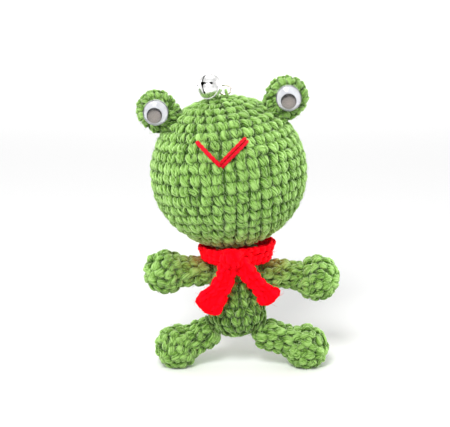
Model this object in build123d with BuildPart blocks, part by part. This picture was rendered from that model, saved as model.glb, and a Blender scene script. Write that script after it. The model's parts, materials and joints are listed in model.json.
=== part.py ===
"""A crocheted frog doll charm, as separate stuffed parts sewn together. Sizes are millimetres.

The doll stands on Z = 0, faces -Y and has +Z up. Right and left are the doll's own, so its
right side is at -X. The origin is on the floor below the middle of its bounding box.
"""

import os
from math import atan2, cos, degrees, radians, sin, sqrt

from build123d import *

os.makedirs("parts", exist_ok=True)

# Yarn
YARN_WALL = 2.2  # thickness of a crocheted cover
SEAM_R = 0.55  # sewing yarn
CLEAR = 0.3  # room between parts that move
TOUCH = 0.05  # room between parts sewn together

# Torso
BODY_X = -0.7  # the upright axis of torso and neck
BELLY_R, BELLY_Z = 10.0, 19.8
CHEST_R, CHEST_Z = 8.3, 30.0
COLLAR_R, COLLAR_Z = 7.4, 35.6
TORSO_TOP_R, TORSO_TOP_Z = 5.2, 38.4

# Neck and head
NECK_Z = 39.6
NECK_SEAM_RING_R, NECK_SEAM_R = 6.3, 0.65
HEAD_ROLL = -5.8  # degrees about +Y, so the top of the head leans to -X
HEAD_R, HEAD_HALF_HEIGHT, HEAD_RIM_R = 24.8, 24.2, 23.6
NECK_TO_HEAD = 25.05

# Eye lobes, in the head's own across and up directions from its centre
LOBE_ACROSS, LOBE_UP, LOBE_Y = 20.6, 22.3, -2.0
LOBE_R = {"right": 6.6, "left": 7.0}
LOBE_HALF_DEPTH, LOBE_RIM_R = 4.6, 3.4
LOBE_SEAM_RING_R, LOBE_SEAM_DEPTH = 4.4, 1.0  # the seam lies this far inside the lobe's edge

# Googly eyes, standard 8 mm
EYE_R, EYE_BACK_T = 4.0, 0.5
EYE_OFFSET = {"right": (0.0, 0.0), "left": (0.4, 0.4)}
GLUE_R, GLUE_PROUD = 3.3, 0.25
DOME_WALL, DOME_SIDE, DOME_RISE = 0.25, 1.0, 1.15
PUPIL_R, PUPIL_T = 2.4, 0.5
PUPIL_DROP = {"right": (-0.45, -0.9), "left": (0.0, -1.0)}
EYE_EDGE_R = 0.12  # rounding of the back plate's and the pupil's edges

# Mouth, in the head's own across and up directions from its centre
MOUTH_CORNER_RIGHT, MOUTH_CORNER_LEFT, MOUTH_POINT = (-8.3, 13.5), (6.7, 12.9), (-2.1, 6.4)
MOUTH_YARN_R = {"right": 0.6, "left": 0.8}
MOUTH_LIFT = 0.2  # room under the yarn, so that it clears the curve of the face

# Limbs: joint, far ball's centre, far ball's radius, sleeve's radius
ARMS = {
    "right": ((-13.5, 32.0), (-23.6, 31.6), 6.75, 4.5),
    "left": ((12.1, 31.3), (25.2, 29.6), 6.95, 4.3),
}
LEGS = {
    "right": ((-12.0, 10.4), (-19.9, 6.0), 6.9, 4.3),
    "left": ((10.6, 10.4), (21.9, 6.0), 7.0, 4.3),
}
WRIST_FILLET = 1.8
LIMB_SEAM_RING_R = 4.05
LIMB_SEAM_LIFT = {"arm": 0.9, "leg": 0.2}  # from the limb's round end towards its joint

# Scarf
BAND_OUTLINE = ((8.6, 36.6), (11.2, 36.8), (12.8, 41.3), (10.2, 40.7))
BAND_FILLET = 1.0
KNOT_CENTRE, KNOT_HALF = (-1.0, -14.3, 39.4), (3.9, 2.4, 3.0)
KNOT_CORNER_R, KNOT_EDGE_R = 2.2, 1.2
TAIL_Y, TAIL_T = -13.2, 2.4
TAIL_CORNER_R, TAIL_EDGE_R = 1.1, 0.6
TAILS = {  # top middle, end middle, top width, end width
    "right": ((-2.9, 36.0), (-9.6, 23.4), 4.6, 7.4),
    "left": ((1.1, 36.0), (8.8, 25.8), 4.2, 6.4),
}

# Bell on its jump ring
RING_CENTRE, RING_R, RING_WIRE_R = (-4.5, -0.3, 90.8), 2.0, 0.3
RING_LEAN = 50.0  # degrees that the ring leans back from upright
RING_LOOP_ANGLE, RING_SHANK_ANGLE = -75.0, 190.0
LOOP_R, LOOP_YARN_R = 1.1, 0.42
BELL_CENTRE, BELL_R, BELL_WALL = (-9.25, -4.3, 92.3), 3.9, 0.35
SHANK_R, SHANK_WIRE_R = 0.95, 0.25
BELL_LIP_R, BELL_LIP_T = 4.1, 0.3
SLOT_W, SLOT_REACH, SLOT_END_R = 0.4, 2.6, 0.4
OPENING_R, OPENING_TURN = 1.15, 17.0  # the three-cornered opening where the slots cross
PELLET_R, PELLET_OFFSET = 1.0, 2.2


def save(piece, name):
    piece.part.label = name
    export_step(piece.part, f"parts/{name}.step")


def turning_plane(origin, direction, radial=(0, 1, 0)):
    """A plane whose local Y runs along direction and whose local X is square to it."""
    along = Vector(direction).normalized()
    across = Vector(radial) - along * along.dot(Vector(radial))
    return Plane(origin=origin, x_dir=across, z_dir=across.cross(along))


def turning_axis(plane):
    return Axis(plane.origin, plane.y_dir)


def half_oval(plane, radius, half_height, rim_r, inset=0):
    """Half of an oval: a rim arc between two flatter arcs that are centred on the axis."""
    rim_x, rise = radius - rim_r, half_height - rim_r
    back = (rim_x**2 - rise**2) / (2 * rise)
    pole_r = half_height + back - inset
    meet = degrees(atan2(back, rim_x))
    with BuildSketch(plane) as half:
        with BuildLine():
            CenterArc((0, back), pole_r, -90, 90 - meet)
            CenterArc((rim_x, 0), rim_r - inset, -meet, 2 * meet)
            CenterArc((0, -back), pole_r, meet, 90 - meet)
            Line((0, half_height - inset), (0, inset - half_height))
        make_face()
    return half.sketch


def half_torso(plane, inset):
    """The torso's outline on one side of its axis: round belly, slim chest, flat top."""
    belly_r, top_z = BELLY_R - inset, TORSO_TOP_Z - inset
    with BuildSketch(plane) as half:
        with BuildLine():
            belly = CenterArc((0, BELLY_Z), belly_r, -90, 100)
            flank = Spline(
                belly @ 1,
                (CHEST_R - inset, CHEST_Z),
                (COLLAR_R - inset, COLLAR_Z),
                tangents=(belly % 1, (-0.25, 1)),
            )
            shoulder = TangentArc(flank @ 1, (TORSO_TOP_R - inset, top_z), tangent=flank % 1)
            Line(shoulder @ 1, (0, top_z))
            Line((0, top_z), (0, BELLY_Z - belly_r))
        make_face()
    return half.sketch


def half_limb(plane, length, ball_r, sleeve_r, inset):
    """A limb's outline: a round end at the joint, a sleeve, a wrist and a ball at the far end."""
    sleeve, ball, wrist = sleeve_r - inset, ball_r - inset, WRIST_FILLET + inset
    wrist_y = length - sqrt((ball + wrist) ** 2 - (sleeve + wrist) ** 2)
    wrist_angle = atan2(wrist_y - length, sleeve + wrist)
    ball_start = (ball * cos(wrist_angle), length + ball * sin(wrist_angle))
    with BuildSketch(plane) as half:
        with BuildLine():
            CenterArc((0, 0), sleeve, -90, 90)
            Line((sleeve, 0), (sleeve, wrist_y))
            TangentArc((sleeve, wrist_y), ball_start, tangent=(0, 1))
            CenterArc((0, length), ball, degrees(wrist_angle), 90 - degrees(wrist_angle))
            Line((0, length + ball), (0, -sleeve))
        make_face()
    return half.sketch


def ring(centre, direction, ring_r, wire_r, radial=(0, 1, 0)):
    """A closed loop of round yarn or wire."""
    plane = turning_plane(centre, direction, radial)
    with BuildPart() as loop:
        with BuildSketch(plane) as section:
            with Locations((ring_r, 0)):
                Circle(wire_r)
        revolve(section.sketch, axis=turning_axis(plane))
    return loop.part


# ---- Torso: cover, stuffing and the neck's sewing yarn

torso_axis = turning_plane((BODY_X, 0, 0), (0, 0, 1), (1, 0, 0))

with BuildPart() as torso_cover:
    revolve(half_torso(torso_axis, 0), axis=turning_axis(torso_axis))
    revolve(half_torso(torso_axis, YARN_WALL), axis=turning_axis(torso_axis), mode=Mode.SUBTRACT)
save(torso_cover, "torso_cover")

with BuildPart() as torso_stuffing:
    revolve(half_torso(torso_axis, YARN_WALL), axis=turning_axis(torso_axis))
save(torso_stuffing, "torso_stuffing")

with BuildPart() as neck_seam:
    add(ring((BODY_X, 0, NECK_Z), (0, 0, 1), NECK_SEAM_RING_R, NECK_SEAM_R))
save(neck_seam, "neck_seam")

# ---- Head: a ball worked round its own leaning axis. HEAD has local X across to the doll's
# left, local Y up to the crown and local Z out to the face.

lean = radians(HEAD_ROLL)
HEAD = Plane(
    origin=(BODY_X + NECK_TO_HEAD * sin(lean), 0, NECK_Z + NECK_TO_HEAD * cos(lean)),
    x_dir=(cos(lean), 0, -sin(lean)),
    z_dir=(0, -1, 0),
)


def head_point(across, up, out):
    return HEAD.from_local_coords(Vector(across, up, out))


def face_out(across, up):
    """How far the face stands out at a place on the front of the head."""
    return HEAD_R * sqrt(1 - (across / HEAD_R) ** 2 - (up / HEAD_HALF_HEIGHT) ** 2)


def half_head(inset):
    return half_oval(HEAD, HEAD_R, HEAD_HALF_HEIGHT, HEAD_RIM_R, inset)


with BuildPart() as head_cover:
    revolve(half_head(0), axis=turning_axis(HEAD))
    revolve(half_head(YARN_WALL), axis=turning_axis(HEAD), mode=Mode.SUBTRACT)
save(head_cover, "head_cover")

with BuildPart() as head_stuffing:
    revolve(half_head(YARN_WALL), axis=turning_axis(HEAD))
save(head_stuffing, "head_stuffing")

with BuildPart() as head_room:  # the head with the room that sewn-on parts leave around it
    revolve(half_head(-TOUCH), axis=turning_axis(HEAD))


# ---- Eye lobes and googly eyes

for side, sign in (("right", -1), ("left", 1)):
    lobe_r = LOBE_R[side]
    lobe_centre = head_point(sign * LOBE_ACROSS, LOBE_UP, -LOBE_Y)
    lobe_axis = turning_plane(lobe_centre, (0, -1, 0), (1, 0, 0))

    lobe_size = (lobe_axis, lobe_r, LOBE_HALF_DEPTH, LOBE_RIM_R)

    with BuildPart() as lobe_cover:
        revolve(half_oval(*lobe_size), axis=turning_axis(lobe_axis))
        revolve(half_oval(*lobe_size, YARN_WALL), axis=turning_axis(lobe_axis), mode=Mode.SUBTRACT)
        add(head_room.part, mode=Mode.SUBTRACT)
    save(lobe_cover, f"{side}_lobe_cover")

    with BuildPart() as lobe_stuffing:
        revolve(half_oval(*lobe_size, YARN_WALL), axis=turning_axis(lobe_axis))
    save(lobe_stuffing, f"{side}_lobe_stuffing")

    with BuildPart() as lobe_room:
        revolve(half_oval(*lobe_size, -TOUCH), axis=turning_axis(lobe_axis))

    outward = (lobe_centre - HEAD.origin).normalized()
    seam_centre = lobe_centre - outward * (lobe_r - LOBE_SEAM_DEPTH)
    with BuildPart() as lobe_seam:
        add(ring(seam_centre, outward, LOBE_SEAM_RING_R, SEAM_R))
        add(head_room.part, mode=Mode.SUBTRACT)
        add(lobe_room.part, mode=Mode.SUBTRACT)
    save(lobe_seam, f"{side}_lobe_seam")

    # The eye's own plane has local X to the doll's left and local Y out to the viewer.
    shift_x, shift_z = EYE_OFFSET[side]
    eye_foot = lobe_centre + Vector(shift_x, -LOBE_HALF_DEPTH - GLUE_PROUD, shift_z)
    eye_axis = turning_plane(eye_foot, (0, -1, 0), (1, 0, 0))

    with BuildPart() as eye_glue:
        with BuildSketch(eye_axis) as glue_section:
            with Locations((GLUE_R / 2, -GLUE_PROUD)):
                Rectangle(GLUE_R, 2 * GLUE_PROUD)
        revolve(glue_section.sketch, axis=turning_axis(eye_axis))
        add(lobe_room.part, mode=Mode.SUBTRACT)
    save(eye_glue, f"{side}_eye_glue")

    with BuildPart() as eye_back:
        with BuildSketch(eye_axis) as back_section:
            with Locations((EYE_R / 2, EYE_BACK_T / 2)):
                Rectangle(EYE_R, EYE_BACK_T)
        revolve(back_section.sketch, axis=turning_axis(eye_axis))
        fillet(eye_back.edges().filter_by(GeomType.CIRCLE), EYE_EDGE_R)
    save(eye_back, f"{side}_eye_back")

    with BuildPart() as eye_dome:
        for wall, mode in ((0, Mode.ADD), (DOME_WALL, Mode.SUBTRACT)):
            radius, top = EYE_R - wall, EYE_BACK_T + DOME_SIDE + DOME_RISE - wall
            with BuildSketch(eye_axis) as dome_section:
                with BuildLine():
                    Line((0, EYE_BACK_T), (radius, EYE_BACK_T))
                    Line((radius, EYE_BACK_T), (radius, EYE_BACK_T + DOME_SIDE))
                    RadiusArc(
                        (radius, EYE_BACK_T + DOME_SIDE),
                        (0, top),
                        -(radius**2 + (DOME_RISE - wall) ** 2) / (2 * (DOME_RISE - wall)),
                    )
                    Line((0, top), (0, EYE_BACK_T))
                make_face()
            revolve(dome_section.sketch, axis=turning_axis(eye_axis), mode=mode)
    save(eye_dome, f"{side}_eye_dome")

    drop_x, drop_z = PUPIL_DROP[side]
    pupil_y = EYE_BACK_T + CLEAR
    with BuildPart() as pupil:
        with BuildSketch(Plane(origin=eye_foot + Vector(drop_x, -pupil_y, drop_z), z_dir=(0, -1, 0))):
            Circle(PUPIL_R)
        extrude(amount=PUPIL_T)
        fillet(pupil.edges().filter_by(GeomType.CIRCLE), EYE_EDGE_R)
    save(pupil, f"{side}_pupil")


# ---- Mouth: two straight stitches that lie on the face and meet in a point

for side, corner in (("right", MOUTH_CORNER_RIGHT), ("left", MOUTH_CORNER_LEFT)):
    yarn_r = MOUTH_YARN_R[side]
    sign = 1 if side == "left" else -1
    inner = (MOUTH_POINT[0] + sign * yarn_r, MOUTH_POINT[1])
    middle = ((corner[0] + inner[0]) / 2, (corner[1] + inner[1]) / 2)
    lift = yarn_r + MOUTH_LIFT
    places = [head_point(a, u, face_out(a, u) + lift) for a, u in (corner, middle, inner)]
    with BuildPart() as mouth_stitch:
        with BuildLine() as stitch_path:
            ThreePointArc(*places)
        with BuildSketch(Plane(origin=places[0], z_dir=stitch_path.line % 0)):
            Circle(yarn_r)
        sweep(path=stitch_path.line)
    save(mouth_stitch, f"{side}_mouth_stitch")


# ---- Arms and legs: straight stuffed limbs with a ball at the far end

for kind, limbs, seam_name in (("arm", ARMS, "shoulder"), ("leg", LEGS, "hip")):
    for side, ((joint_x, joint_z), (ball_x, ball_z), ball_r, sleeve_r) in limbs.items():
        joint, far_ball = Vector(joint_x, 0, joint_z), Vector(ball_x, 0, ball_z)
        length = (far_ball - joint).length
        limb_axis = turning_plane(joint, far_ball - joint)

        with BuildPart() as limb_cover:
            revolve(half_limb(limb_axis, length, ball_r, sleeve_r, 0), axis=turning_axis(limb_axis))
            revolve(
                half_limb(limb_axis, length, ball_r, sleeve_r, YARN_WALL),
                axis=turning_axis(limb_axis),
                mode=Mode.SUBTRACT,
            )
            if kind == "leg":  # the sole is pressed flat where the doll stands on it
                split(bisect_by=Plane.XY, keep=Keep.TOP)
        save(limb_cover, f"{side}_{kind}_cover")

        with BuildPart() as limb_stuffing:
            revolve(half_limb(limb_axis, length, ball_r, sleeve_r, YARN_WALL), axis=turning_axis(limb_axis))
        save(limb_stuffing, f"{side}_{kind}_stuffing")

        # The limb is sewn to the torso by a ring of yarn round the place where they meet.
        root = Vector(BODY_X, 0, BELLY_Z if kind == "leg" else joint_z)
        outward = (joint - root).normalized()
        reach = (joint - root).length - sleeve_r
        seam_centre = root + outward * (reach + LIMB_SEAM_LIFT[kind])
        with BuildPart() as limb_seam:
            add(ring(seam_centre, outward, LIMB_SEAM_RING_R, SEAM_R))
        save(limb_seam, f"{side}_{seam_name}_seam")


# ---- Scarf: a band round the neck, a knot in front and two hanging tails

with BuildPart() as scarf_band:
    with BuildSketch(torso_axis) as band_section:
        Polygon(*BAND_OUTLINE, align=None)
        fillet(band_section.vertices(), BAND_FILLET)
    revolve(band_section.sketch, axis=turning_axis(torso_axis))
save(scarf_band, "scarf_band")

with BuildPart() as scarf_knot:
    with BuildSketch(Plane.XZ.offset(-KNOT_CENTRE[1] - KNOT_HALF[1])) as knot_outline:
        with Locations((KNOT_CENTRE[0], KNOT_CENTRE[2])):
            RectangleRounded(2 * KNOT_HALF[0], 2 * KNOT_HALF[2], KNOT_CORNER_R)
    extrude(amount=2 * KNOT_HALF[1])
    knot_rims = scarf_knot.edges().group_by(Axis.Y)
    fillet(knot_rims[0] + knot_rims[-1], KNOT_EDGE_R)
save(scarf_knot, "scarf_knot")

for side, ((top_x, top_z), (end_x, end_z), top_w, end_w) in TAILS.items():
    top, end = Vector(top_x, top_z), Vector(end_x, end_z)
    down = (end - top).normalized()
    across = Vector(-down.Y, down.X)
    corners = [
        top + across * top_w / 2,
        top - across * top_w / 2,
        end - across * end_w / 2,
        end + across * end_w / 2,
    ]
    with BuildPart() as scarf_tail:
        with BuildSketch(Plane.XZ.offset(-TAIL_Y - TAIL_T / 2)) as tail_outline:
            Polygon(*corners, align=None)
            fillet(tail_outline.vertices(), TAIL_CORNER_R)
        extrude(amount=TAIL_T)
        tail_rims = scarf_tail.edges().group_by(Axis.Y)
        fillet(tail_rims[0] + tail_rims[-1], TAIL_EDGE_R)
    save(scarf_tail, f"{side}_scarf_tail")


# ---- Jump ring on its yarn loop at the crown, and the bell that hangs from it

ring_back = radians(RING_LEAN)
ring_up = Vector(0, sin(ring_back), cos(ring_back))
ring_centre = Vector(RING_CENTRE)


def on_ring(angle):
    """A point on the jump ring's wire, and the wire's direction there."""
    turn = radians(angle)
    place = ring_centre + Vector(1, 0, 0) * RING_R * cos(turn) + ring_up * RING_R * sin(turn)
    return place, ring_up * cos(turn) - Vector(1, 0, 0) * sin(turn)


with BuildPart() as jump_ring:
    add(ring(ring_centre, Vector(1, 0, 0).cross(ring_up), RING_R, RING_WIRE_R, (1, 0, 0)))
save(jump_ring, "jump_ring")

loop_centre, loop_axis = on_ring(RING_LOOP_ANGLE)
with BuildPart() as crown_loop:
    add(ring(loop_centre, loop_axis, LOOP_R, LOOP_YARN_R))
    add(head_room.part, mode=Mode.SUBTRACT)
save(crown_loop, "crown_loop")

bell_centre = Vector(BELL_CENTRE)
shank_centre, shank_axis = on_ring(RING_SHANK_ANGLE)
bell_axis = (bell_centre - shank_centre).normalized()
bell_plane = turning_plane(bell_centre, bell_axis, (1, 0, 0))

with BuildPart() as bell_ball:
    with Locations(bell_centre):
        Sphere(BELL_R)

with BuildPart() as bell_shank:
    add(ring(shank_centre, shank_axis, SHANK_R, SHANK_WIRE_R))
    add(bell_ball.part, mode=Mode.SUBTRACT)
save(bell_shank, "bell_shank")


def bell_half(outward, lip_t):
    """One half of the bell: a hemisphere of sheet metal with a flat lip where the halves meet."""
    inner_r = BELL_R - BELL_WALL
    with BuildSketch(bell_plane) as half:
        with BuildLine():
            Line((inner_r, 0), (BELL_LIP_R, 0))
            Line((BELL_LIP_R, 0), (BELL_LIP_R, outward * lip_t))
            Line((BELL_LIP_R, outward * lip_t), (sqrt(BELL_R**2 - lip_t**2), outward * lip_t))
            lip_angle = degrees(atan2(lip_t, sqrt(BELL_R**2 - lip_t**2)))
            CenterArc((0, 0), BELL_R, outward * lip_angle, outward * (90 - lip_angle))
            Line((0, outward * BELL_R), (0, outward * inner_r))
            CenterArc((0, 0), inner_r, outward * 90, outward * -90)
        make_face()
    return half.sketch


with BuildPart() as bell_crown:
    revolve(bell_half(-1, BELL_LIP_T), axis=turning_axis(bell_plane))
save(bell_crown, "bell_crown")

with BuildPart() as bell_mouth:
    revolve(bell_half(1, BELL_LIP_T), axis=turning_axis(bell_plane))
    slot_plane = Plane(origin=bell_centre, x_dir=bell_plane.x_dir, z_dir=bell_axis)
    with BuildSketch(slot_plane):
        for turn in (0, 90):
            with Locations(Rotation(0, 0, turn)):
                Rectangle(2 * SLOT_REACH, SLOT_W)
                with Locations((-SLOT_REACH, 0), (SLOT_REACH, 0)):
                    Circle(SLOT_END_R)
        RegularPolygon(OPENING_R, 3, rotation=OPENING_TURN)
    extrude(amount=2 * BELL_R, mode=Mode.SUBTRACT)
save(bell_mouth, "bell_mouth")

down_in_bell = (Vector(0, 0, -1) + bell_axis * bell_axis.Z).normalized()
with BuildPart() as bell_pellet:
    with Locations(bell_centre + down_in_bell * PELLET_OFFSET):
        Sphere(PELLET_R)
save(bell_pellet, "bell_pellet")
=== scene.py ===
"""Looks of the crocheted frog doll charm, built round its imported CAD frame.

Lengths are in metres, and MM turns a number of millimetres into metres. -Y is the way the face
looks. Right and left are the doll's own, so its right side is at -X.
"""

import json
import math

import bpy
import numpy as np
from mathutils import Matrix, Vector
from mathutils.bvhtree import BVHTree


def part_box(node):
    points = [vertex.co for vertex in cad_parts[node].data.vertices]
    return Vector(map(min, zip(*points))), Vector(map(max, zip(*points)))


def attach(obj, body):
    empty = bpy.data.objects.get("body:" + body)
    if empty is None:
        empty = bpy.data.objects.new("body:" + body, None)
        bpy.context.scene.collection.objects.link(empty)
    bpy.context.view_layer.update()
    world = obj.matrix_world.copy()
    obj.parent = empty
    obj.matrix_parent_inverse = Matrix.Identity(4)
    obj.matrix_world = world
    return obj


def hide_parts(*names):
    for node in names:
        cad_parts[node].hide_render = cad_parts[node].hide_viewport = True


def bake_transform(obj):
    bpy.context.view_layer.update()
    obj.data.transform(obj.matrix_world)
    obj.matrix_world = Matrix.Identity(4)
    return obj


MM = 0.001
TINY = 1e-12  # metres
SIDES = {"right": -1, "left": 1}
FRONT = np.array((0.0, -1.0, 0.0))
UP = np.array((0.0, 0.0, 1.0))

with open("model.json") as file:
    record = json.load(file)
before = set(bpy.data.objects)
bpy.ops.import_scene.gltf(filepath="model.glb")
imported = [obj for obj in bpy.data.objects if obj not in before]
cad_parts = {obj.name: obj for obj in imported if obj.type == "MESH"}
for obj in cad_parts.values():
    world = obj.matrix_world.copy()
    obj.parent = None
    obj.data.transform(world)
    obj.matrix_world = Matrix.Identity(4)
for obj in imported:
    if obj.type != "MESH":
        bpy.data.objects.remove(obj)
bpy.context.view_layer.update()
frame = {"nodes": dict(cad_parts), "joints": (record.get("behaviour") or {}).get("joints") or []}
joints = {j["name"]: np.array(j["pos_m"]) for j in frame["joints"]}


def mm(*numbers):
    """Millimetres as an array of metres."""
    return np.array(numbers, float) * MM


def unit(v):
    return v / np.linalg.norm(v)


def units(v):
    """Each vector along the last axis, at length 1 or still about 0."""
    return v / np.maximum(np.linalg.norm(v, axis=-1, keepdims=True), TINY)


def angles(count):
    """Evenly spaced angles once round."""
    return np.arange(count) * 2 * math.pi / count


def length_of(path):
    return np.linalg.norm(np.diff(path, axis=0), axis=1).sum()


def added(name, data):
    """A new object in the scene."""
    obj = bpy.data.objects.new(name, data)
    bpy.context.scene.collection.objects.link(obj)
    return obj


def middle_of(node):
    low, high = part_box(node)
    return np.array((low + high) / 2)


def skin_of(node):
    """The CAD node's surface, to cast rays at."""
    mesh = frame["nodes"][node].data
    places = [v.co for v in mesh.vertices]
    return BVHTree.FromPolygons(places, [tuple(f.vertices) for f in mesh.polygons])


# ---- Stitches: the crochet stitch is two plied legs of yarn in a cell of fabric

CELL_W, CELL_H = 3.75 * MM, 3.4 * MM  # one stitch, across and up the fabric
YARN_R = 1.0 * MM
STITCH_RISE = 1.8 * MM  # from the fabric's ground to the top of a stitch
RINGS, CORNERS = 9, 12  # of a leg's mesh
PLIES, PLY_DEPTH, PLY_TURNS = 3, 0.10, -0.6
TEMPLATES = 12

# A leg's centre line: across and up in cells, and height over the ground in yarn radii
FRONT_LEG = (
    (-0.25, 0.54, -0.9),
    (-0.25, 0.40, -0.05),
    (-0.22, 0.20, 0.55),
    (-0.17, -0.08, 0.68),
    (-0.12, -0.32, 0.35),
    (-0.10, -0.50, -0.9),
)
BACK_LEG = (
    (0.21, 0.54, -0.9),
    (0.22, 0.38, -0.05),
    (0.21, 0.18, 0.46),
    (0.19, -0.08, 0.54),
    (0.14, -0.30, 0.25),
    (0.10, -0.48, -0.9),
)
FRONT_SWELL, BACK_SWELL = 1.16, 1.04
LEG_VARIES = mm(0.2, 0.18, 0.08)  # of a leg's points, from one template to the next
LEG_TAPER = 0.32  # of its radius, at a leg's ends
SQUASH = 0.85  # a leg's thickness out of the fabric, for its width


def smooth_path(points, count):
    """A Catmull-Rom curve through the points, sampled count times."""
    p = np.array(points, float)
    p = np.vstack([2 * p[0] - p[1], p, 2 * p[-1] - p[-2]])
    t = np.linspace(0, len(points) - 1 - 1e-9, count)
    i = t.astype(int)
    f = (t - i)[:, None]
    a, b, c, d = p[i], p[i + 1], p[i + 2], p[i + 3]
    bend = 2 * b + (c - a) * f + (2 * a - 5 * b + 4 * c - d) * f**2
    return 0.5 * (bend + (3 * b - a - 3 * c + d) * f**3)


def yarn_rings(path, radii, corners, turns, phase, ply_depth=PLY_DEPTH):
    """Offsets of a plied yarn's skin from its path, one ring of corners per point of the path,
    and how near each corner is to the crest of a ply, from -1 to 1."""
    tangents = units(np.gradient(path, axis=0))
    side = np.cross(tangents[0], (0.3, 0.1, 1.0))
    theta = angles(corners)
    rings, crests = [], []
    for k, (tangent, radius) in enumerate(zip(tangents, radii)):
        side = unit(side - tangent * (side @ tangent))
        other = np.cross(tangent, side)
        crest = np.cos(PLIES * (theta - 2 * math.pi * (phase + turns * k / (len(path) - 1))))
        r = radius * (1 - ply_depth + ply_depth * crest)
        rings.append(np.outer(r * np.cos(theta), side) + np.outer(r * np.sin(theta), other))
        crests.append(crest)
    return np.array(rings), np.array(crests)


def yarn_faces(rings, corners, looped=False):
    """(faces, corner UVs) of the tube's sides, and the same of its two end caps unless looped."""
    bands = rings if looped else rings - 1
    k, s = np.meshgrid(np.arange(bands), np.arange(corners), indexing="ij")
    k, s = k.ravel(), s.ravel()
    n, up = (s + 1) % corners, (k + 1) % rings
    sides = np.stack([k * corners + s, k * corners + n, up * corners + n, up * corners + s], axis=1)
    u = np.stack([s, s + 1, s + 1, s], axis=1) / corners
    v = np.stack([k, k, k + 1, k + 1], axis=1) / bands
    tube = [(sides, np.stack([u, v], axis=2))]
    if looped:
        return tube
    ring = np.arange(corners)
    caps = np.stack([ring[::-1], (rings - 1) * corners + ring])
    cap_u = np.stack([ring[::-1], ring]) / corners
    cap_v = np.repeat([[0.0], [1.0]], corners, axis=1)
    return tube + [(caps, np.stack([cap_u, cap_v], axis=2))]


def make_templates():
    """TEMPLATES slightly different stitches: centre lines in cells and metres, skins, crests."""
    shape = np.random.default_rng(5)
    lines, skins, crests = [], [], []
    for _ in range(TEMPLATES):
        for leg, swell in ((FRONT_LEG, FRONT_SWELL), (BACK_LEG, BACK_SWELL)):
            points = np.array(leg) * (CELL_W, CELL_H, YARN_R)
            points += shape.normal(0, 1, points.shape) * LEG_VARIES
            path = smooth_path(points, RINGS)
            taper = 1 - LEG_TAPER * np.linspace(-1, 1, RINGS) ** 4
            radii = YARN_R * swell * shape.uniform(0.93, 1.06) * taper
            lines.append(path / (CELL_W, CELL_H, 1))
            skin, crest = yarn_rings(path, radii, CORNERS, PLY_TURNS, shape.random())
            skins.append(skin * (1, 1, SQUASH))
            crests.append(crest)
    lines = np.array(lines).reshape(TEMPLATES, 2, RINGS, 3)
    skins = np.array(skins).reshape(TEMPLATES, 2, RINGS, CORNERS, 3)
    return lines, skins, np.array(crests).reshape(TEMPLATES, 2, RINGS, CORNERS)


STITCH_LINES, STITCH_SKINS, STITCH_CRESTS = make_templates()
LEG_FACES = yarn_faces(RINGS, CORNERS)


# ---- Surfaces that stitches are laid on


class Surface:
    """A closed grid of points. Columns go round it, as a from 0 to 1, and rows run from one end
    to the other, as b from 0 to 1, or right round again if the surface is looped."""

    def __init__(self, grid, looped=False):
        self.grid, self.looped = grid, looped
        round_it = np.roll(grid, -1, axis=1) - np.roll(grid, 1, axis=1)
        if looped:
            along = np.roll(grid, -1, axis=0) - np.roll(grid, 1, axis=0)
        else:
            along = np.gradient(grid, axis=0)
            round_it[0], round_it[-1] = round_it[1], round_it[-2]
            along[0], along[-1] = along[1], along[-2]
        normals = np.cross(round_it, along)
        outward = grid - grid.mean(axis=1, keepdims=True)
        if (normals * outward).sum() < 0:
            normals = -normals
        self.fields = np.stack([grid, units(normals), units(along)], axis=2)

    def frames(self, a, b):
        """Places on the surface, and there the outward, up-the-rows and across directions."""
        rows, columns = self.grid.shape[:2]
        if self.looped:
            y = (b % 1) * rows
            y0 = np.floor(y).astype(int) % rows
            y1 = (y0 + 1) % rows
        else:
            over = (b < 0) | (b > 1)
            a = np.where(over, a + 0.5, a)
            b = np.where(b > 1, 2 - b, np.abs(b))
            y = b * (rows - 1)
            y0 = np.minimum(np.floor(y).astype(int), rows - 2)
            y1 = y0 + 1
        x = (a % 1) * columns
        x0 = np.floor(x).astype(int) % columns
        x1 = (x0 + 1) % columns
        fx, fy = (x - np.floor(x))[..., None, None], (y - np.floor(y))[..., None, None]
        low = self.fields[y0, x0] * (1 - fx) + self.fields[y0, x1] * fx
        high = self.fields[y1, x0] * (1 - fx) + self.fields[y1, x1] * fx
        mixed = low * (1 - fy) + high * fy
        place, out, up = mixed[..., 0, :], units(mixed[..., 1, :]), mixed[..., 2, :]
        up = units(up - out * (up * out).sum(axis=-1, keepdims=True))
        return place, out, up, np.cross(up, out)

    def girth(self, b, height):
        """The way round at b, at a height over the surface."""
        place, out, _, _ = self.frames(np.linspace(0, 1, 49), np.full(49, b))
        return length_of(place + out * height)


def resampled(outline, count):
    """Points evenly spaced along an outline."""
    outline = np.array(outline, float)
    run = np.concatenate([[0], np.cumsum(np.linalg.norm(np.diff(outline, axis=0), axis=1))])
    at = np.linspace(0, run[-1], count)
    return np.stack([np.interp(at, run, outline[:, k]) for k in range(outline.shape[1])], axis=1)


def revolved(outline, origin, along, across, columns=60):
    """A grid turned from an outline of (radius, distance along the axis) points."""
    phi = angles(columns)
    spoke = np.outer(np.cos(phi), across) + np.outer(np.sin(phi), np.cross(along, across))
    radius, run = outline[:, 0][:, None, None], outline[:, 1][:, None, None]
    return origin + run * along + radius * spoke[None]


def cad_outline(node, origin, along, across, inset, rows):
    """The outline of a round CAD node, drawn in by inset, from its -along end to the other, as
    found by rays from a metre away."""
    skin = skin_of(node)
    points = []
    for angle in np.radians(np.linspace(0, 180, 121)):
        ray = -math.cos(angle) * along + math.sin(angle) * across
        _, _, _, distance = skin.ray_cast(Vector(origin + ray), Vector(-ray))
        reach = 1 - distance - inset
        points.append((reach * math.sin(angle), -reach * math.cos(angle)))
    return resampled(points, rows)


# ---- Stuffing: a cloth simulation blows a smooth shape up unevenly from inside

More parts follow.
